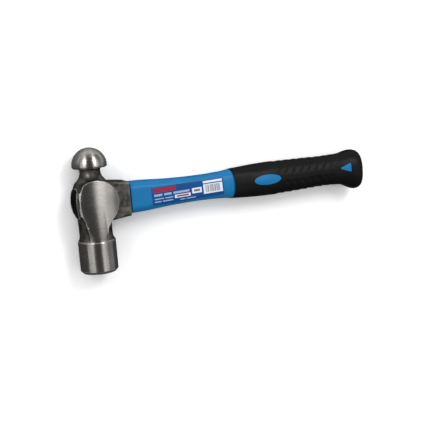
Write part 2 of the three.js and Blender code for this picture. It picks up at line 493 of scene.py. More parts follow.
@dataclass(frozen=True)
class LabelPrint:
    """Print on film: plain blocks, rows of dashes and a row of bars, with nothing to read."""

    ground: Colour = rgb(0.002, 0.047, 0.175)
    specular: float = 0.2
    blocks: tuple[Block, ...] = (
        Block(0.02, 0.335, 0.70, 0.96, RED_INK),
        Block(0.03, 0.14, 0.49, 0.61, TEXT_INK),
        Block(0.165, 0.27, 0.49, 0.61, TEXT_INK),
        Block(0.295, 0.52, 0.49, 0.61, TEXT_INK),
        Block(0.31, 0.53, 0.24, 0.42, WHITE_INK),
        Block(0.335, 0.505, 0.285, 0.375, RED_INK),
        Block(0.03, 0.16, 0.31, 0.37, TEXT_INK),
        Block(0.18, 0.285, 0.31, 0.37, TEXT_INK),
        Block(0.03, 0.12, 0.15, 0.21, TEXT_INK),
        Block(0.14, 0.28, 0.15, 0.21, TEXT_INK),
        Block(0.38, 0.45, 0.09, 0.145, TEXT_INK),
        Block(0.47, 0.60, 0.09, 0.145, TEXT_INK),
        Block(0.555, 0.69, 0.33, 0.63, WHITE_INK),
        Block(0.58, 0.665, 0.42, 0.54, GREY_INK),
        Block(0.715, 0.985, 0.20, 0.74, WHITE_INK),
        Block(0.745, 0.955, 0.28, 0.69, GREY_INK, 90.0, 0.5),
        Block(0.715, 0.985, 0.80, 0.92, WHITE_INK),
    )

    def material(self) -> Material:
        """The finish.

        Returns:
            The material.
        """
        bench = NodeBench("label_print")
        position = bench.add("ShaderNodeSeparateXYZ")
        bench.link(bench.add("ShaderNodeUVMap").outputs["UV"], position.inputs[0])
        along = position.outputs["X"]
        up = position.outputs["Y"]
        colour = self.ground
        for index, block in enumerate(self.blocks):
            colour = bench.mix(self.mask(bench, block, along, up, index), colour, block.ink)
        rubbed = bench.noise(120.0)
        bench.set(Base_Color=colour, Roughness=bench.ramp(rubbed, 0.3, 0.7, 0.3, 0.4))
        bench.shader.inputs["Specular IOR Level"].default_value = self.specular
        return bench.material

    def mask(self, bench: NodeBench, block: Block, along: Socket,
             up: Socket, seed: int) -> Socket:
        """1 where the block is printed, 0 elsewhere.

        Args:
            bench: the label's nodes.
            block: what to print.
            along: position along the label, 0 to 1.
            up: position up the label, 0 to 1.
            seed: which stretch of the noise breaks the block into marks.

        Returns:
            The mask.
        """
        middle = ((block.left + block.right) / 2, (block.low + block.high) / 2)
        half = ((block.right - block.left) / 2, (block.high - block.low) / 2)
        inside = bench.math("MULTIPLY", bench.math("COMPARE", along, middle[0], half[0]),
                            bench.math("COMPARE", up, middle[1], half[1]))
        if not block.marks_per_length:
            return inside
        marks = bench.add("ShaderNodeTexNoise", noise_dimensions="1D")
        marks.inputs["Scale"].default_value = block.marks_per_length
        marks.inputs["Detail"].default_value = 1.0
        bench.link(bench.math("ADD", along, float(seed)), marks.inputs["W"])
        broken = bench.math("GREATER_THAN", marks.outputs["Fac"], 1 - block.fill)
        return bench.math("MULTIPLY", inside, broken)


@dataclass(frozen=True)
class PaleFloor:
    """Plain pale floor, which polished metal sees as a painted reflection: dark near the hammer,
    lighter far along +Y.
    """

    colour: Colour = rgb(0.93, 0.93, 0.93)
    near_in_gloss: Colour = rgb(0.05, 0.05, 0.049)
    far_in_gloss: Colour = rgb(0.75, 0.75, 0.74)
    near_to_far: Pair = (0.02, 0.22)

    def material(self) -> Material:
        """The finish, which polished metal sees darker, as it does a studio around it.

        Returns:
            The material.
        """
        bench = NodeBench("pale_floor")
        glossy = bench.add("ShaderNodeLightPath").outputs["Is Glossy Ray"]
        bench.shader.inputs["Specular IOR Level"].default_value = 0.1
        place = bench.add("ShaderNodeSeparateXYZ")
        bench.link(bench.coordinates(), place.inputs[0])
        # painted reflection: what glossy rays see is dark near the hammer and lighter far along +Y
        far = bench.ramp(place.outputs["Y"], *self.near_to_far)
        painted_reflection = bench.mix(far, self.near_in_gloss, self.far_in_gloss)
        bench.set(Base_Color=bench.mix(glossy, self.colour, painted_reflection), Roughness=0.9)
        return bench.material


# ---- Solids ----


def stand(name: str, data: bpy.types.ID) -> bpy.types.Object:
    """An object in the scene.

    Args:
        name: its name.
        data: its mesh, light or camera.

    Returns:
        The object.
    """
    thing = bpy.data.objects.new(name, data)
    bpy.context.scene.collection.objects.link(thing)
    return thing


class Solid:
    """A closed solid in millimetres, held as a Blender object while it is worked on."""

    def __init__(self, name: str, bm: bmesh.types.BMesh, slot: int = 0) -> None:
        """Turns a bmesh into an object.

        Args:
            name: the object's name.
            bm: the shape, which is freed.
            slot: the material slot of all its faces.
        """
        bmesh.ops.remove_doubles(bm, verts=bm.verts, dist=WELD)
        bmesh.ops.recalc_face_normals(bm, faces=bm.faces)
        for face in bm.faces:
            face.material_index = slot
            face.smooth = True
        mesh = bpy.data.meshes.new(name)
        bm.to_mesh(mesh)
        bm.free()
        for _ in Skin:
            mesh.materials.append(None)
        self.object = stand(name, mesh)

    def bake_modifiers(self) -> "Solid":
        """Makes the modifiers' result the mesh.

        Returns:
            This solid.
        """
        bpy.context.view_layer.update()
        evaluated = self.object.evaluated_get(bpy.context.evaluated_depsgraph_get())
        mesh = bpy.data.meshes.new_from_object(evaluated)
        while len(mesh.materials) < len(Skin):
            mesh.materials.append(None)
        self.object.modifiers.clear()
        self.object.data = mesh
        return self

    def work(self, cut: Cut, tool: "Solid") -> "Solid":
        """Joins, removes or keeps what lies in a tool.

        Args:
            cut: which of the three.
            tool: the tool, which is used up.

        Returns:
            This solid.
        """
        modifier = self.object.modifiers.new(cut.name.lower(), "BOOLEAN")
        modifier.operation = cut.value
        modifier.solver = "EXACT"
        modifier.material_mode = "INDEX"
        modifier.object = tool.object
        self.bake_modifiers()
        bpy.data.objects.remove(tool.object)
        return self

    def fuse(self, voxel: float, passes: int) -> "Solid":
        """Melts overlapping solids into one skin and rounds its edges.

        Args:
            voxel: the size of the new faces.
            passes: how often the surface is smoothed.

        Returns:
            This solid.
        """
        modifier = self.object.modifiers.new("fuse", "REMESH")
        modifier.mode = "VOXEL"
        modifier.voxel_size = voxel
        self.bake_modifiers()
        bm = self.opened()
        every_way = {f"use_axis_{axis}": True for axis in "xyz"}
        for _ in range(passes):
            bmesh.ops.smooth_vert(bm, verts=bm.verts, factor=0.5, **every_way)
        self.closed(bm)
        return self

    def opened(self) -> bmesh.types.BMesh:
        """The mesh as a bmesh.

        Returns:
            The bmesh, to be given back to closed.
        """
        bm = bmesh.new()
        bm.from_mesh(self.object.data)
        return bm

    def closed(self, bm: bmesh.types.BMesh) -> None:
        """Puts the bmesh back."""
        bm.to_mesh(self.object.data)
        bm.free()

    def shear(self, point: Vector, outward: Vector) -> "Solid":
        """Cuts off what lies outward of a plane and closes the cut.

        Args:
            point: a point in the plane.
            outward: the plane's normal.

        Returns:
            This solid.
        """
        bm = self.opened()
        everything = [*bm.verts, *bm.edges, *bm.faces]
        cut = bmesh.ops.bisect_plane(bm, geom=everything, plane_co=point, plane_no=outward,
                                     clear_outer=True)
        rim = [item for item in cut["geom_cut"] if isinstance(item, bmesh.types.BMEdge)]
        bmesh.ops.holes_fill(bm, edges=rim, sides=0)
        self.closed(bm)
        return self

    def cleaned(self) -> "Solid":
        """Clears the slivers that cuts between nearly touching faces leave.

        Returns:
            This solid.
        """
        bm = self.opened()
        bmesh.ops.remove_doubles(bm, verts=bm.verts, dist=SLIVER)
        bmesh.ops.dissolve_degenerate(bm, edges=bm.edges, dist=SLIVER)
        in_line = [vert for vert in bm.verts if len(vert.link_edges) == 2
                   and vert.calc_edge_angle(math.pi) < IN_LINE]
        bmesh.ops.dissolve_verts(bm, verts=in_line)
        self.closed(bm)
        return self

    def set_down(self, lift: float, materials: Sequence[Material],
                 crease_degrees: float) -> bpy.types.Object:
        """Turns millimetres into metres on the bench, and dresses the piece.

        Args:
            lift: height of the middle of the head's thickness over the bench, in metres.
            materials: one for each slot in use.
            crease_degrees: the angle past which an edge is shown sharp.

        Returns:
            The finished piece.
        """
        mesh = self.cleaned().object.data
        mesh.transform(Matrix.Translation((0, 0, lift)) @ Matrix.Scale(MM, 4))
        for index, material in enumerate(materials):
            mesh.materials[index] = material
        while len(mesh.materials) > len(materials):
            mesh.materials.pop()
        mesh.shade_smooth()
        mesh.set_sharp_from_angle(angle=math.radians(crease_degrees))
        mesh.update()
        return self.object


@dataclass(frozen=True)
class Section:
    """One cross-section of the handle.

    It is the part that a rectangle and a diamond share, with corners as hard as the exponent says.
    """

    x: float
    top: float
    bottom: float
    side: float
    bevel: float = 0.0
    hardness: float = 2.4

    def grown(self, amount: float) -> "Section":
        """The same section, larger all round."""
        return replace(self, top=self.top + amount, bottom=self.bottom - amount,
                       side=self.side + amount)

    def reach(self, angle: float) -> float:
        """Distance to the outline, before it is stretched to the section's own sizes.

        Args:
            angle: the direction, from the top edge towards +Z.

        Returns:
            The distance.
        """
        half = (self.top - self.bottom) / 2
        up, out = abs(math.cos(angle)), abs(math.sin(angle))
        cut = (up + out) / (half + self.side - self.bevel)
        total = (up / half) ** self.hardness + (out / self.side) ** self.hardness
        total += min(max(self.bevel, 0.0), 1.0) * cut ** self.hardness
        return total ** (-1 / self.hardness)

    def point(self, angle: float) -> Vector:
        """A point of the outline.

        Args:
            angle: its direction, from the top edge towards +Z.

        Returns:
            The point.
        """
        half = (self.top - self.bottom) / 2
        radius = self.reach(angle)
        up = radius * math.cos(angle) * half / self.reach(0)
        out = radius * math.sin(angle) * self.side / self.reach(QUARTER_TURN)
        return Vector((self.x, (self.top + self.bottom) / 2 + up, out))


def smooth_sections(sections: Sequence[Section], steps: int) -> list[Section]:
    """Sections on smooth curves through the given ones.

    Args:
        sections: the sections that the shape needs.
        steps: how many steps each gap is divided into.

    Returns:
        The finer list.
    """
    rows = [tuple(getattr(section, item.name) for item in fields(Section)) for section in sections]
    rows = [tuple(2 * a - b for a, b in zip(rows[0], rows[1])), *rows,
            tuple(2 * a - b for a, b in zip(rows[-1], rows[-2]))]
    finer = []
    for before, start, end, after in zip(rows, rows[1:], rows[2:], rows[3:]):
        for step in range(steps):
            finer.append(Section(*(
                curve_value(values, step / steps) for values in zip(before, start, end, after))))
    finer.append(sections[-1])
    return finer


def curve_value(values: Sequence[float], t: float) -> float:
    """A value on a Catmull-Rom curve.

    Args:
        values: four numbers, of which the curve joins the middle two.
        t: how far along it, 0 to 1.

    Returns:
        The value.
    """
    before, start, end, after = values
    return 0.5 * (2 * start + (end - before) * t + (2 * before - 5 * start + 4 * end - after) * t ** 2
                  + (3 * start - before - 3 * end + after) * t ** 3)


def smoothstep(low: float, high: float, value: float) -> float:
    """0 below low, 1 above high, and smooth between, for a value."""
    t = min(max((value - low) / (high - low), 0.0), 1.0)
    return t * t * (3 - 2 * t)


def swept(name: str, sections: Sequence[Section], around: int, slot: int = 0,
          place: Callable[[Vector, float, int], Vector] | None = None) -> Solid:
    """A closed solid along X through sections.

    Args:
        name: the solid's name.
        sections: one for each ring of points.
        around: points in a ring.
        slot: the material slot.
        place: moves a point, given the point, its angle and the number of its ring.

    Returns:
        The solid.
    """
    bm = bmesh.new()
    bmesh.ops.create_cone(bm, cap_ends=True, cap_tris=False, segments=around,
                          radius1=1, radius2=1, depth=1)
    ribs = [edge for edge in bm.edges if abs(edge.verts[0].co.z - edge.verts[1].co.z) > 0.5]
    gaps = len(sections) - 1
    if gaps > 1:
        bmesh.ops.subdivide_edges(bm, edges=ribs, cuts=gaps - 1, use_grid_fill=False)
    for vert in bm.verts:
        ring = round((vert.co.z + 0.5) * gaps)
        angle = math.atan2(vert.co.y, vert.co.x)
        point = sections[ring].point(angle)
        vert.co = place(point, angle, ring) if place else point
    return Solid(name, bm, slot)


def arc(centre_y: float, radius: float, start: float, end: float, steps: int) -> list[Pair]:
    """Points (radius, y) on an arc about a centre on the head's axis, from start to end degrees."""
    angles = (math.radians(start + (end - start) * step / steps) for step in range(steps + 1))
    return [(radius * math.cos(angle), centre_y + radius * math.sin(angle)) for angle in angles]


def turned(name: str, profile: Sequence[Pair], around: int, slot: int = 0) -> Solid:
    """A solid turned about the head's axis.

    Args:
        name: the solid's name.
        profile: (radius, y) points.
        around: steps in a full turn.
        slot: the material slot.

    Returns:
        The solid.
    """
    bm = bmesh.new()
    verts = [bm.verts.new((radius if radius > ON_AXIS else 0.0, y, 0.0)) for radius, y in profile]
    edges = [bm.edges.new(pair) for pair in zip(verts, verts[1:])]
    bmesh.ops.spin(bm, geom=[*verts, *edges], cent=(0, 0, 0), axis=HEAD_AXIS, angle=2 * math.pi,
                   steps=around, use_merge=True, use_duplicate=False)
    return Solid(name, bm, slot)


def rounded(corners: Sequence[Vector], radius: float, clearance: float,
            steps: int = 8) -> list[Vector]:
    """A triangle with rounded corners, listed anticlockwise.

    Args:
        corners: the three corners before rounding.
        radius: the radius of each corner.
        clearance: how far the rounded outline is then moved outwards.
        steps: steps in each corner.

    Returns:
        The points of the outline.
    """
    outline = []
    for index, corner in enumerate(corners):
        before = (corner - corners[index - 1]).normalized()
        after = (corners[(index + 1) % 3] - corner).normalized()
        half_angle = (-before).angle(after) / 2
        centre = corner + (after - before).normalized() * (radius / math.sin(half_angle))
        start = math.atan2(before.y, before.x) - QUARTER_TURN
        for step in range(steps + 1):
            angle = start + (math.pi - 2 * half_angle) * step / steps
            spoke = Vector((math.cos(angle), math.sin(angle)))
            outline.append(centre + spoke * (radius + clearance))
    return outline


def extruded(name: str, outline: Sequence[Pair], half_depth: float,
             slot: int = 0, draft: float = 0.0, edge_round: float = 0.0) -> Solid:
    """A flat outline in X and Y, extruded both ways from the middle.

    Args:
        name: the solid's name.
        outline: points round the outline.
        half_depth: how far it reaches towards +Z and -Z.
        slot: the material slot.
        draft: how much its two ends are drawn in.
        edge_round: radius of the edges round its two ends.

    Returns:
        The solid.
    """
    bm = bmesh.new()
    middle = bm.faces.new([bm.verts.new((x, y, 0.0)) for x, y in outline])
    for end in (half_depth, -half_depth):
        copy = bmesh.ops.duplicate(bm, geom=[middle])["geom"]
        face = next(item for item in copy if isinstance(item, bmesh.types.BMFace))
        grown_part = bmesh.ops.extrude_face_region(bm, geom=[face])["geom"]
        verts = [item for item in grown_part if isinstance(item, bmesh.types.BMVert)]
        centre = sum((vert.co for vert in verts), Vector()) / len(verts)
        bmesh.ops.translate(bm, verts=verts, vec=(0, 0, end))
        shrink = 1 - draft / max((vert.co.xy - centre.xy).length for vert in verts)
        bmesh.ops.scale(bm, verts=verts, vec=(shrink, shrink, 1),
                        space=Matrix.Translation((-centre.x, -centre.y, 0)))
        bmesh.ops.delete(bm, geom=[face], context="FACES_ONLY")
    bmesh.ops.delete(bm, geom=[middle], context="FACES_ONLY")
    bmesh.ops.remove_doubles(bm, verts=bm.verts, dist=WELD)
    if edge_round:
        rims = [edge for edge in bm.edges
                if all(abs(vert.co.z) > half_depth - SLIVER for vert in edge.verts)]
        bmesh.ops.bevel(bm, geom=rims, offset=edge_round, affect="EDGES", segments=4, profile=0.5,
                        material=-1)
    return Solid(name, bm, slot)


@dataclass(frozen=True)
class Core:
    """The glass rod in the handle, which the other pieces leave room for."""

    height: float = 6.3
    side: float = 4.4
    end_x: float = 215.0
    clearance: float = 0.1

    def bore(self, start: float, end: float) -> Solid:
        """The room for it.

        Args:
            start: where the bore starts along the handle.
            end: where it ends.

        Returns:
            The bore, as a solid to cut with.
        """
        height = self.height + self.clearance
        side = self.side + self.clearance
        sections = [Section(x, height, -height, side, hardness=OVAL) for x in (start, end)]
        return swept("core_bore", sections, 48)


def joined(name: str, solids: Sequence[Solid]) -> Solid:
    """Several solids in one object, still overlapping.

    Args:
        name: the object's name.
        solids: the solids, which are used up.

    Returns:
        The solid.
    """
    bm = bmesh.new()
    for solid in solids:
        bm.from_mesh(solid.object.data)
        bpy.data.objects.remove(solid.object)
    return Solid(name, bm)


def present(piece: bpy.types.Object, node: str, slot: str) -> None:
    """Puts a piece on the frame's body in place of a CAD node.

    Args:
        piece: the finished piece.
        node: the CAD node that it stands for.
        slot: the record's material slot; not used.
    """
    piece.name = f"finished_{node}"
    piece.data.name = piece.name
    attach(piece, "root")
    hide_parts(node)
    LOG.info("%s: %d faces", piece.name, len(piece.data.polygons))


# ---- Head ----


@dataclass
class HammerHead:
    """Steel head: a forged blank whose ball, poll and cheeks are ground to size, in millimetres."""

    face_y: float = -55.9
    face_crown: float = 1.0
    face_chamfer: float = 2.0
    poll_radius: float = 14.7
    shoulder_y: float = -30.8
    waist_radius: float = 12.9
    eye_body_radius: float = 14.6
    neck_radius: float = 8.0
    ball_radius: float = 13.6
    ball_y: float = 28.6
    brim_y: float = 27.0
    cheek_radius: float = 18.2
    cheek_open_degrees: float = 80.0
    cheek_draft: float = 1.8
    cheek_half: float = 14.7
    cheek_crown_radius: float = 48.0
    cheek_edge_x: float = 18.4
    tail_left: float = -8.0
    tail_right: float = 5.6
    tail_step: float = 0.4
    eye_end_x: float = -15.4
    collar_end_x: float = 27.0
    collar_root_half: float = 16.7
    collar_end_half: float = 13.3
    collar_thickness: float = 10.9
    collar_round: float = 0.9
    eye_front: Pair = (11.3, 8.5)
    eye_back: Pair = (10.1, 7.5)
    eye_chamfer: float = 0.9
    end_curve: Pair = (23.0, 90.0)
    end_curve_limit: float = 2.0
    bevel_x: float = -13.0
    bevel_tilt: Pair = (30.0, 58.0)
    bevel_round: float = 6.0
    bevel_sweep: float = 60.0
    bevel_zone: Pair = (-25.0, -5.0)
    bevel_half: float = 18.0
    brim_round: float = 1.1
    grinding_stock: float = 1.0
    well_clear: float = 42.0
    envelope_half: float = 80.0
    voxel: float = 0.55
    smoothing: int = 7
    end_blend: Pair = (1.0, 9.0)
    end_zone: Pair = (9.0, 18.0)
    blank_steps: int = 96
    turning_steps: int = 160
    bevel_steps: int = 240
    eye_steps: int = 72

    def forged_blank(self) -> Solid:
        """The forging, with stock left on the ball, the poll and the cheeks.

        Returns:
            The blank.
        """
        stock = self.grinding_stock
        poll = self.poll_radius + stock
        ball = self.ball_radius + stock
        waist = self.waist_radius
        profile = [
            (0, self.face_y - stock), (poll, self.face_y - stock), (poll, self.shoulder_y),
            (waist + 0.8, self.shoulder_y + 1.6), (waist, self.shoulder_y + 4.5), (waist, -18),
            (self.eye_body_radius, -9), (self.eye_body_radius, 8), (11.5, 16.5), (9, 19.5),
            (self.neck_radius, 22.5), (self.neck_radius, self.brim_y - 0.9),
            (ball - 0.8, self.brim_y - 0.1), *arc(self.ball_y, ball, 0, 90, 16),
        ]
        parts = [
            turned("turned_core", profile, self.blank_steps),
            extruded("cheek_swell", self.cheek_outline(), self.cheek_half + 4 * stock,
                     draft=self.cheek_draft),
            extruded("collar", self.collar_outline(), self.collar_thickness,
                     edge_round=self.collar_round),
        ]
        return joined("forged_blank", parts).fuse(self.voxel, self.smoothing)

    def cheek_outline(self) -> list[Pair]:
        """A round cheek whose tail runs down into the poll.

        Returns:
            The points of its outline.
        """
        join = 90 - self.cheek_open_degrees / 2
        circle = arc(0, self.cheek_radius, -join, 180 + join, 48)
        flare = ((1.6, 11), (0.6, 6), (0, -1))
        left = [(self.tail_left - out, self.shoulder_y + up) for out, up in flare]
        right = [(self.tail_right + out, self.shoulder_y + up) for out, up in reversed(flare)]
        return [*circle, *left, *right]

    def collar_outline(self) -> list[Pair]:
        """The socket towards the handle, which tapers to its end.

        Returns:
            The points of its outline.
        """
        far = self.collar_end_x + PAST
        slope = (self.collar_root_half - self.collar_end_half) / self.collar_end_x
        root, end = self.collar_root_half, self.collar_end_half - PAST * slope
        return [(-PAST, -root), (far, -end), (far, end), (-PAST, root)]

    def turning_envelope(self) -> Solid:
        """What grinding about the head's axis leaves: the face, the poll and the ball.

        Returns:
            The envelope.
        """
        poll = self.poll_radius
        step = self.tail_step
        flat = poll - self.face_chamfer
        crown_radius = (flat ** 2 + self.face_crown ** 2) / (2 * self.face_crown)
        crown_angle = math.degrees(math.asin(flat / crown_radius))
        crown = arc(self.face_y + crown_radius, crown_radius, -90, -90 + crown_angle, 8)
        inner = self.ball_radius - self.brim_round
        brim = math.asin((self.brim_y + self.brim_round - self.ball_y) / inner)
        lip = [(inner * math.cos(brim) + dx, self.brim_y + self.brim_round + dy)
               for dx, dy in arc(0, self.brim_round, -85, math.degrees(brim), 8)]
        profile = [
            *crown, (poll, self.face_y + self.face_crown + self.face_chamfer),
            (poll, self.shoulder_y + 0.3), (poll - step, self.shoulder_y + 0.8),
            (poll - step, self.shoulder_y + 2.4), (poll + 0.5, -24.4), (poll + 2.7, -17.2),
            (self.well_clear, -16.9), (self.well_clear, self.brim_y - 2.5),
            (lip[0][0] - 1.2, self.brim_y - 0.1), *lip,
            *arc(self.ball_y, self.ball_radius, math.degrees(brim), 90, 40)[1:],
        ]
        return turned("turning_envelope", profile, self.turning_steps, Skin.GROUND.value)

    def cheek_envelope(self) -> Solid:
        """What the flat grinding leaves: two crowned cheeks, closed well past the head's ends.

        Returns:
            The envelope.
        """
        radius = self.cheek_crown_radius
        reach = math.asin(self.cheek_edge_x / radius)
        clear = self.cheek_half + 8
        steps = 24
        crown = []
        for step in range(steps + 1):
            angle = reach * (2 * step / steps - 1)
            height = self.cheek_half - radius + radius * math.cos(angle)
            crown.append((radius * math.sin(angle), height))
        far = clear + 20
        crown = [(-far, crown[0][1]), *crown, (self.cheek_edge_x + 1.2, clear), (far, clear)]
        outline = [*reversed(crown), *((x, -z) for x, z in crown)]
        solid = extruded("cheek_envelope", outline, self.envelope_half, Skin.GROUND.value)
        solid.object.data.transform(Matrix.Rotation(QUARTER_TURN, 4, "X"))
        return solid

    def end_bevel(self) -> Solid:
        """What is ground off in a crescent between each cheek and the end around the eye.

        Returns:
            The waste.
        """
        crown = self.cheek_crown_radius
        shallow, steep = self.bevel_tilt
        height = self.cheek_half - crown + math.sqrt(crown ** 2 - self.bevel_x ** 2)
        first = math.radians(90 - shallow)
        centre_r = self.bevel_sweep - self.bevel_round * math.cos(first)
        centre_z = height - self.bevel_round * math.sin(first)
        turn = arc(centre_z, self.bevel_round, 90 - shallow, 90 - steep, 6)
        bend = [(centre_r + radius, z) for radius, z in turn]
        above = 3.0
        top = self.bevel_sweep - above / math.tan(math.radians(shallow))
        widest = bend[-1][0] + bend[-1][1] / math.tan(math.radians(steep))
        upper = [(widest, 0), *reversed(bend), (top, height + above), (0, height + above)]
        lower = [(r, -z) for r, z in reversed(upper[1:])]
        profile = [*lower, *upper]
        kept = turned("bevel_kept", profile, self.bevel_steps, Skin.GROUND.value)
        centre = Matrix.Translation((self.bevel_x + self.bevel_sweep, 0, 0))
        kept.object.data.transform(centre @ Matrix.Rotation(QUARTER_TURN, 4, "X"))
        start, end = self.bevel_zone
        half = self.bevel_half
        corners = [(start, -half), (end, -half), (end, half), (start, half)]
        waste = extruded("bevel_waste", corners, half + PAST, Skin.GROUND.value)
        return waste.work(Cut.REMOVE, kept)

    def eye_section(self, x: float, extra: float = 0.0) -> Section:
        """The tapered oval eye.

        Args:
            x: where along the handle's axis.
            extra: how much wider it is all round.

        Returns:
            Its section there.
        """
        along = (x - self.eye_end_x) / (self.collar_end_x - self.eye_end_x)
        sizes = zip(self.eye_front, self.eye_back)
        height, side = (front + (back - front) * along + extra for front, back in sizes)
        return Section(x, height, -height, side, hardness=OVAL)

    def eye_cutter(self) -> Solid:
        """The eye with the countersink at its mouth.

        Returns:
            The eye, as a solid to cut with.
        """
        chamfer = self.eye_chamfer
        return swept("eye_cutter", [
            self.eye_section(self.eye_end_x - PAST, chamfer + PAST),
            self.eye_section(self.eye_end_x + chamfer),
            self.eye_section(self.collar_end_x + PAST),
        ], self.eye_steps, Skin.EYE_WALL.value)

    def build(self) -> Solid:
        """The finished head.

        Returns:
            The head.
        """
        head = self.forged_blank()
        head.shear(Vector((self.eye_end_x, 0, 0)), Vector((-1, 0, 0)))
        head.shear(Vector((self.collar_end_x, 0, 0)), Vector((1, 0, 0)))
        head.work(Cut.REMOVE, self.eye_cutter())
        self.with_rounded_end(head)
        head.work(Cut.KEEP, self.turning_envelope())
        head.work(Cut.KEEP, self.cheek_envelope())
        return head.work(Cut.REMOVE, self.end_bevel())

    def with_rounded_end(self, head: Solid) -> Solid:
        """Curves the end around the eye, which is a little convex both ways.

        Args:
            head: the head before it is ground.

        Returns:
            The same head.
        """
        bm = head.opened()
        rim = self.eye_front[1] ** 2 / (2 * self.end_curve[1])
        for vert in bm.verts:
            drop = min(vert.co.y ** 2 / (2 * self.end_curve[0]), self.end_curve_limit)
            drop += vert.co.z ** 2 / (2 * self.end_curve[1]) - rim
            near_end = 1 - smoothstep(*self.end_blend, vert.co.x - self.eye_end_x)
            near_eye = 1 - smoothstep(*self.end_zone, abs(vert.co.y))
            vert.co.x += max(0.0, drop) * near_end * near_eye
        head.closed(bm)
        return head


@dataclass
class EyeFilling:
    """What holds the head on: epoxy round the core, and the dam that kept it in."""

    head: HammerHead
    gap: float = 0.05
    recess: float = 1.5
    cover: float = 1.2
    meniscus: float = 0.8
    meniscus_steps: tuple[float, ...] = (0.35, 0.3, 0.15)
    dam_start: float = 27.05
    dam_end: float = 28.1
    dam_half_height: float = 11.8
    dam_half_thickness: float = 9.1
    core: Core = Core()

    def resin(self) -> Solid:
        """The plug, whose end is dished where it crept up the wall of the eye.

        Returns:
            The plug.
        """
        start = self.head.eye_end_x + self.recess
        plug = swept("resin_plug", [
            self.head.eye_section(start, -self.gap),
            self.head.eye_section(start + 0.3, -self.gap),
            self.head.eye_section(self.head.collar_end_x, -self.gap),
        ], self.head.eye_steps)
        bm = plug.opened()
        end = next(face for face in bm.faces if face.normal.x < -0.9 and len(face.verts) > 8)
        for share in self.meniscus_steps:
            bmesh.ops.inset_region(bm, faces=[end], thickness=1.2, depth=-self.meniscus * share,
                                   use_even_offset=True)
        plug.closed(bm)
        hole_start = start + self.cover
        return plug.work(Cut.REMOVE, self.core.bore(hole_start, self.head.collar_end_x + PAST))

    def dam(self) -> Solid:
        """The soft ring between the collar and the jacket.

        Returns:
            The ring.
        """
        ring = swept("dam_ring", [
            Section(x, self.dam_half_height - drop, drop - self.dam_half_height,
                    self.dam_half_thickness - drop, 2.6, 10)
            for x, drop in ((self.dam_start, 0.2), (self.dam_start + 0.2, 0.0),
                            (self.dam_end - 0.2, 0.0), (self.dam_end, 0.2))
        ], 96)
        return ring.work(Cut.REMOVE, self.core.bore(self.dam_start - PAST, self.dam_end + PAST))


# ---- Handle ----


@dataclass(frozen=True)
class GripRelief:
    """Overlapping scales moulded into the grip, in a band on each side of its middle line."""

    first_x: float = 152.0
    last_x: float = 211.0
    pitch: float = 7.2
    slant: float = 0.75
    height: float = 0.7
    middle: float = 0.5
    side_half: float = 9.0
    side_drift: float = 0.35
    fade_in: float = 7.0
    fade_out: float = 9.0
    bare_band: Pair = (1.6, 4.4)
    crest: float = 0.86

    def depth(self, point: Vector) -> float:
        """How far the surface lies under the crests of the scales.

        Args:
            point: a point on the grip.

        Returns:
            The depth there.
        """
        drift = self.side_drift * max(0.0, self.side_half - abs(point.z))
        off_middle = abs(point.y - self.middle) + drift
        along = (smoothstep(self.first_x, self.first_x + self.fade_in, point.x)
                 * (1 - smoothstep(self.last_x - self.fade_out, self.last_x, point.x)))
        band = smoothstep(*self.bare_band, off_middle)
        phase = ((point.x - self.slant * off_middle) / self.pitch) % 1.0
        scale = phase * (1 - smoothstep(self.crest, 1.0, phase))
        return self.height * along * band * (1 - scale)


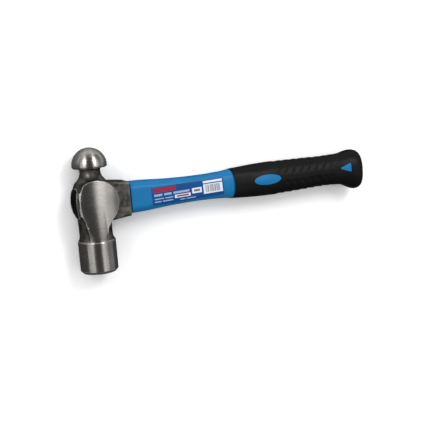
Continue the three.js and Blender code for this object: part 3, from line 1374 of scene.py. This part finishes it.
@dataclass
class Handle:
    """Blue jacket over the core, rubber grip over the jacket, and the label."""

    front: tuple[Section, ...] = (
        Section(28.2, 12.3, -12.3, 9.65, 3.7, 22),
        Section(42, 11.9, -11.9, 9.55, 3.6, 22),
        Section(56.7, 10.8, -10.8, 9.35, 3.4, 22),
        Section(71.4, 10.2, -10.2, 9.1, 3.2, 20),
        Section(84, 10, -10, 9, 3.1, 16),
        Section(96.6, 10.3, -10.3, 9.1, 3.3, 11),
        Section(106, 10.9, -10.9, 9.45, 3.7, 8),
        Section(111.2, 11.45, -11.45, 9.8, 4.0, 6.5),
        Section(113.2, 11.9, -11.9, 10.15, 4.0, 6),
        Section(114.7, 11.85, -11.85, 10.1, 4.0, 6),
        Section(115.6, 11.2, -11.2, 9.45, 4.1, 6),
        Section(118.5, 11.2, -11.2, 9.45, 4.2, 6),
    )
    under_grip: tuple[Section, ...] = (
        Section(119, 9.9, -9.9, 8.0),
        Section(132, 10.1, -10.1, 8.4),
        Section(150, 10.5, -10.5, 8.8),
        Section(168, 10.4, -10.4, 8.8),
        Section(187, 10.1, -10.1, 8.6),
        Section(206, 9.9, -9.9, 8.7),
        Section(224.7, 11, -11, 9.5),
    )
    sleeve: tuple[Section, ...] = (
        Section(115.4, 12.25, -12.25, 10.3, 4.0, 5.5),
        Section(124, 12.85, -12.85, 11.1, 3.0, 4.2),
        Section(135.5, 13.55, -13.55, 11.9, 1.6, 3.2),
        Section(147, 13.85, -13.85, 12.3, 0.4, 2.6),
        Section(159.6, 13.8, -13.75, 12.3),
        Section(172.2, 13.6, -13.45, 12.1),
        Section(184.8, 13.4, -13.05, 11.8),
        Section(197.4, 13.1, -12.7, 11.55),
        Section(209, 13, -12.7, 11.65),
        Section(217.4, 13.2, -13.5, 12.3),
        Section(223.7, 14.7, -16.2, 13.6),
        Section(228, 15.3, -18.1, 14.1),
        Section(231.2, 15.0, -18.2, 13.6),
        Section(233.8, 13.5, -17.0, 11.8),
        Section(235.6, 10.5, -14.0, 8.8),
        Section(236.6, 5.0, -8.5, 4.5),
        Section(236.9, 1.0, -4.0, 1.6),
    )
    relief: GripRelief = GripRelief()
    front_rings: int = 7
    rear_rings: int = 4
    sleeve_rings: int = 13
    jacket_steps: int = 112
    pad_steps: int = 96
    grip_steps: int = 160
    lip_bulge: float = 0.8
    lip_fade: int = 10
    front_clearance: float = 0.06
    cavity_clearance: float = 0.3
    pad_recess: float = 0.2
    pad_half: float = 18.0
    window_gap: float = 0.3
    oval: tuple[float, ...] = (144.6, 0.5, 11.8, 4.15)
    triangle: tuple[float, ...] = (211.8, 222.3, 1.6, 3.9)
    corner_radius: float = 0.7
    core: Core = Core()

    def jacket_sections(self, front_growth: float, rear_growth: float) -> list[Section]:
        """The jacket from its front end to its rear end.

        Args:
            front_growth: how much larger its front part is all round.
            rear_growth: how much larger the part under the grip is.

        Returns:
            The sections.
        """
        front = smooth_sections(self.front, self.front_rings)
        rear = smooth_sections(self.under_grip, self.rear_rings)
        return [*(section.grown(front_growth) for section in front),
                *(section.grown(rear_growth) for section in rear)]

    def sleeve_sections(self, growth: float = 0.0) -> list[Section]:
        """The outside of the grip, larger all round by an amount."""
        smooth = smooth_sections(self.sleeve, self.sleeve_rings)
        return [section.grown(growth) for section in smooth]

    def oval_pad(self, clearance: float) -> Solid:
        """The oval, right through the handle.

        Args:
            clearance: how much wider it is all round.

        Returns:
            The solid.
        """
        x, y, length, height = self.oval
        angles = (2 * math.pi * step / self.pad_steps for step in range(self.pad_steps))
        length += clearance
        height += clearance
        outline = [(x + length * math.cos(angle), y + height * math.sin(angle)) for angle in angles]
        return extruded("oval_pad", outline, self.pad_half)

    def triangle_pad(self, clearance: float) -> Solid:
        """The triangle with rounded corners, right through the handle.

        Args:
            clearance: how much wider it is all round.

        Returns:
            The solid.
        """
        apex, base, y, half = self.triangle
        corners = [Vector((apex, y)), Vector((base, y - half)), Vector((base, y + half))]
        outline = rounded(corners, self.corner_radius, clearance)
        return extruded("triangle_pad", outline, self.pad_half)

    def jacket(self) -> Solid:
        """The blue moulding: a bevelled shaft with the raised oval and triangle behind.

        Returns:
            The jacket.
        """
        shaft = self.jacket_sections(0, 0)
        first = shaft[0]
        nose = [replace(first.grown(-drop), x=first.x + back) for drop, back in
                ((0.8, 0.0), (0.35, 0.12), (0.1, 0.35), (0.0, 0.8))]
        body = swept("jacket_body", [*nose, *shaft[1:]], self.jacket_steps)
        for pad in (self.oval_pad(0), self.triangle_pad(0)):
            limit = swept("pad_limit", self.sleeve_sections(-self.pad_recess)[::2], self.pad_steps)
            body.work(Cut.JOIN, pad.work(Cut.KEEP, limit))
        bore_end = self.core.end_x + self.cavity_clearance
        return body.work(Cut.REMOVE, self.core.bore(first.x - PAST, bore_end))

    def grip(self) -> Solid:
        """The rubber sleeve with its scales, its windows and its bulged front lip.

        Returns:
            The grip.
        """
        sections = self.sleeve_sections()
        middle = [Vector((0, (section.top + section.bottom) / 2, 0)) for section in sections]

        def place(point: Vector, angle: float, ring: int) -> Vector:
            """Sinks a point between the scales and bulges the front lip.

            Args:
                point: the point on the plain sleeve.
                angle: its direction, from the top edge towards +Z.
                ring: the number of its ring.

            Returns:
                Its place.
            """
            outward = Vector((0, point.y - middle[ring].y, point.z))
            moved = point - outward.normalized() * self.relief.depth(point)
            bulge = self.lip_bulge * abs(math.sin(angle)) ** 1.6
            moved.x += bulge * max(0.0, 1 - ring / self.lip_fade) ** 2
            return moved

        body = swept("grip_body", sections, self.grip_steps, place=place)
        hollow = self.jacket_sections(self.front_clearance, self.cavity_clearance)
        body.work(Cut.REMOVE, swept("grip_hollow", hollow, self.jacket_steps))
        body.work(Cut.REMOVE, self.oval_pad(self.window_gap))
        body.work(Cut.REMOVE, self.triangle_pad(self.window_gap))
        return body


@dataclass
class FilmLabel:
    """The label, laid on the flat of the jacket."""

    handle: Handle
    x: float = 75.5
    y: float = -0.5
    length: float = 61.0
    height: float = 14.1
    tilt_degrees: float = 1.5
    glue: float = 0.02
    thickness: float = 0.12
    columns: int = 80
    rows: int = 20
    corner: float = 0.24

    def surface(self, sections: Sequence[Section], x: float, y: float) -> float:
        """How high the side of the jacket is at a point.

        Args:
            sections: the jacket's sections, in order of x.
            x: where along the handle.
            y: where across it.

        Returns:
            Its distance from the middle plane.
        """
        after = next(index for index, section in enumerate(sections) if section.x >= x)
        low, high = sections[after - 1], sections[after]
        share = (x - low.x) / (high.x - low.x)
        return self.height_on(low, y) * (1 - share) + self.height_on(high, y) * share

    def height_on(self, section: Section, y: float) -> float:
        """How high one section is, found by halving the angle.

        Args:
            section: the section.
            y: where across it.

        Returns:
            Its distance from the middle plane.
        """
        low, high = (0.0, QUARTER_TURN) if y >= 0 else (math.pi, QUARTER_TURN)
        for _ in range(24):
            angle = (low + high) / 2
            if abs(section.point(angle).y) > abs(y):
                low = angle
            else:
                high = angle
        return section.point((low + high) / 2).z

    def build(self) -> Solid:
        """The film, with its print laid out from end to end.

        Returns:
            The film.
        """
        sections = smooth_sections(self.handle.front, self.handle.front_rings)
        bm = bmesh.new()
        layer = bm.loops.layers.uv.new("print")
        bmesh.ops.create_grid(bm, x_segments=self.columns, y_segments=self.rows, size=0.5,
                              calc_uvs=True)
        for face in bm.faces:
            for loop in face.loops:
                loop[layer].uv = loop.vert.co.xy + Vector((0.5, 0.5))
        bmesh.ops.scale(bm, verts=bm.verts, vec=(self.length, self.height, 1))
        self.round_corners(bm)
        tilt = Matrix.Rotation(math.radians(self.tilt_degrees), 3, "Z")
        bmesh.ops.rotate(bm, verts=bm.verts, matrix=tilt)
        bmesh.ops.translate(bm, verts=bm.verts, vec=(self.x, self.y, 0))
        for vert in bm.verts:
            vert.co.z = self.surface(sections, vert.co.x, vert.co.y) + self.glue
        film = bmesh.ops.extrude_face_region(bm, geom=list(bm.faces))["geom"]
        top = [item for item in film if isinstance(item, bmesh.types.BMVert)]
        bmesh.ops.translate(bm, verts=top, vec=(0, 0, self.thickness))
        return Solid("label_film", bm)

    def round_corners(self, bm: bmesh.types.BMesh) -> None:
        """Pulls the corner points of the flat film in a little.

        Args:
            bm: the film.
        """
        near = 0.01
        for vert in bm.verts:
            if abs(vert.co.x) > self.length / 2 - near and abs(vert.co.y) > self.height / 2 - near:
                vert.co.x -= math.copysign(self.corner, vert.co.x)
                vert.co.y -= math.copysign(self.corner, vert.co.y)


# ---- Studio ----


@dataclass(frozen=True)
class Softbox:
    """A rectangular light, aimed at the hammer."""

    name: str
    lean: float
    lift: float
    distance: float
    width: float
    height: float
    power: float
    shows_in_gloss: bool = True

    def hang(self, target: Vector) -> None:
        """Makes the light.

        Args:
            target: the point that it is aimed at.
        """
        lean, lift = math.radians(self.lean), math.radians(self.lift)
        level = math.cos(lift)
        away = Vector((math.sin(lean) * level, math.sin(lift), math.cos(lean) * level))
        across = HEAD_AXIS.cross(away).normalized()
        data = bpy.data.lights.new(self.name, "AREA")
        data.shape = "RECTANGLE"
        data.size = self.width
        data.size_y = self.height
        data.energy = self.power
        light = stand(self.name, data)
        rotation = Matrix((across, away.cross(across), away)).transposed()
        light.matrix_world = Matrix.Translation(target + away * self.distance) @ rotation.to_4x4()
        light.visible_glossy = self.shows_in_gloss
        light.visible_camera = False


@dataclass
class Studio:
    """Floor, lights, surroundings and camera."""

    middle: Vector
    floor_half_width: float = 4.0
    surroundings: float = 0.62
    gloss_surroundings: float = 0.058
    backdrop: float = 0.93
    yaw: float = 21.65
    elevation: float = 9.1
    roll: float = 4.72
    camera_at: tuple[float, float, float] = (-182.8, 100.5, 707.1)
    focal_length: float = 80.46
    softboxes: tuple[Softbox, ...] = (
        Softbox("right_softbox", 30, 10, 0.95, 0.66, 1.05, 1.6),
        Softbox("right_core", 25, 30, 0.94, 0.2, 0.34, 2.6),
        Softbox("left_softbox", -57, 10, 0.95, 0.7, 1.05, 1.6),
        Softbox("left_core", -46, 30, 0.94, 0.28, 0.34, 2.2),
        Softbox("right_edge", 72, 5, 1.0, 0.75, 1.0, 0.6),
        Softbox("top_softbox", -15, 80, 1.2, 1.5, 0.7, 1.2),
        Softbox("overhead", 0, 25, 2.2, 2.4, 2.0, 8.5, False),
        Softbox("ball_side", 5, 62, 1.6, 1.8, 1.0, 5.5, False),
    )

    def floor(self) -> None:
        """The floor that the hammer lies on."""
        bm = bmesh.new()
        bmesh.ops.create_grid(bm, x_segments=1, y_segments=1, size=self.floor_half_width)
        mesh = bpy.data.meshes.new("floor")
        bm.to_mesh(mesh)
        bm.free()
        mesh.materials.append(PaleFloor().material())
        floor = stand("floor", mesh)

    def world(self) -> None:
        """Even pale surroundings, which polished metal sees darker."""
        world = bpy.data.worlds.new("surroundings")
        world.use_nodes = True
        tree = world.node_tree
        background = tree.nodes["Background"]
        path = tree.nodes.new("ShaderNodeLightPath")
        soft = tree.nodes.new("ShaderNodeMix")
        seen = tree.nodes.new("ShaderNodeMix")
        soft.inputs["A"].default_value = self.surroundings
        soft.inputs["B"].default_value = self.gloss_surroundings
        seen.inputs["B"].default_value = self.backdrop
        tree.links.new(path.outputs["Is Glossy Ray"], soft.inputs["Factor"])
        tree.links.new(path.outputs["Is Camera Ray"], seen.inputs["Factor"])
        tree.links.new(soft.outputs["Result"], seen.inputs["A"])
        tree.links.new(seen.outputs["Result"], background.inputs["Strength"])
        background.inputs["Color"].default_value = rgb(1, 1, 1)
        bpy.context.scene.world = world

    def camera(self) -> None:
        """Looks at the hammer from above its eye end, a little from the ball's side."""
        data = bpy.data.cameras.new("camera")
        data.lens = self.focal_length
        data.clip_start = 0.01
        camera = stand("camera", data)
        turn = (Matrix.Rotation(math.radians(self.roll), 3, "Z")
                @ Matrix.Rotation(math.radians(self.elevation), 3, "X")
                @ Matrix.Rotation(math.radians(self.yaw), 3, "Y"))
        place = Matrix.Translation(self.middle + Vector(self.camera_at) * MM)
        camera.matrix_world = place @ turn.transposed().to_4x4()
        bpy.context.scene.camera = camera

    def build(self) -> None:
        """Sets everything up."""
        self.floor()
        self.world()
        self.camera()
        for softbox in self.softboxes:
            softbox.hang(self.middle)
        bpy.context.scene.view_settings.view_transform = "Standard"


def main() -> None:
    """Builds the studio and every piece, in order."""
    logging.basicConfig(level=logging.INFO, format="%(name)s: %(message)s")
    low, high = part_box("hammer_head")
    lift = (low[2] + high[2]) / 2
    Studio(Vector((0, 0, lift))).build()

    forged, ground = ForgedSkin().material(), GroundSteel().material()
    blue = Moulding("blue_jacket", rgb(0.0015, 0.115, 0.285), rgb(0.002, 0.125, 0.3),
                    (0.36, 0.44), wave_depth=0.0002, specular=0.22)
    rubber = Moulding("grip_rubber", rgb(0.0022, 0.0026, 0.0023), rgb(0.0042, 0.0046, 0.004),
                      (0.44, 0.56), grain_per_metre=3200.0, grain_depth=0.00005, specular=0.2)
    epoxy = Moulding("eye_epoxy", rgb(0.003, 0.003, 0.003), rgb(0.006, 0.006, 0.006),
                     (0.3, 0.45), grain_per_metre=700.0, grain_depth=0.0001, specular=0.2)
    soft_black = Moulding("dam_rubber", rgb(0.012, 0.012, 0.013), rgb(0.018, 0.018, 0.02),
                          (0.6, 0.75))
    black = epoxy.material()

    head = HammerHead()
    filling = EyeFilling(head)
    handle = Handle()
    label = FilmLabel(handle)
    pieces = (
        (head.build, (forged, ground, black), "hammer_head", "forged_steel"),
        (filling.resin, (black,), "eye_resin", "epoxy_resin"),
        (filling.dam, (soft_black.material(),), "resin_dam", "dam_rubber"),
        (handle.jacket, (blue.material(),), "handle_jacket", "jacket_plastic"),
        (handle.grip, (rubber.material(),), "rubber_grip", "grip_rubber"),
        (label.build, (LabelPrint().material(),), "product_label", "label_film"),
    )
    for make, materials, node, slot in pieces:
        crease = SCALE_CREASE if node == "rubber_grip" else PLAIN_CREASE
        present(make().set_down(lift, materials, crease), node, slot)
    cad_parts["fibreglass_core"].material_slots[0].material = GlassRod().material()


if __name__ == "__main__":
    main()
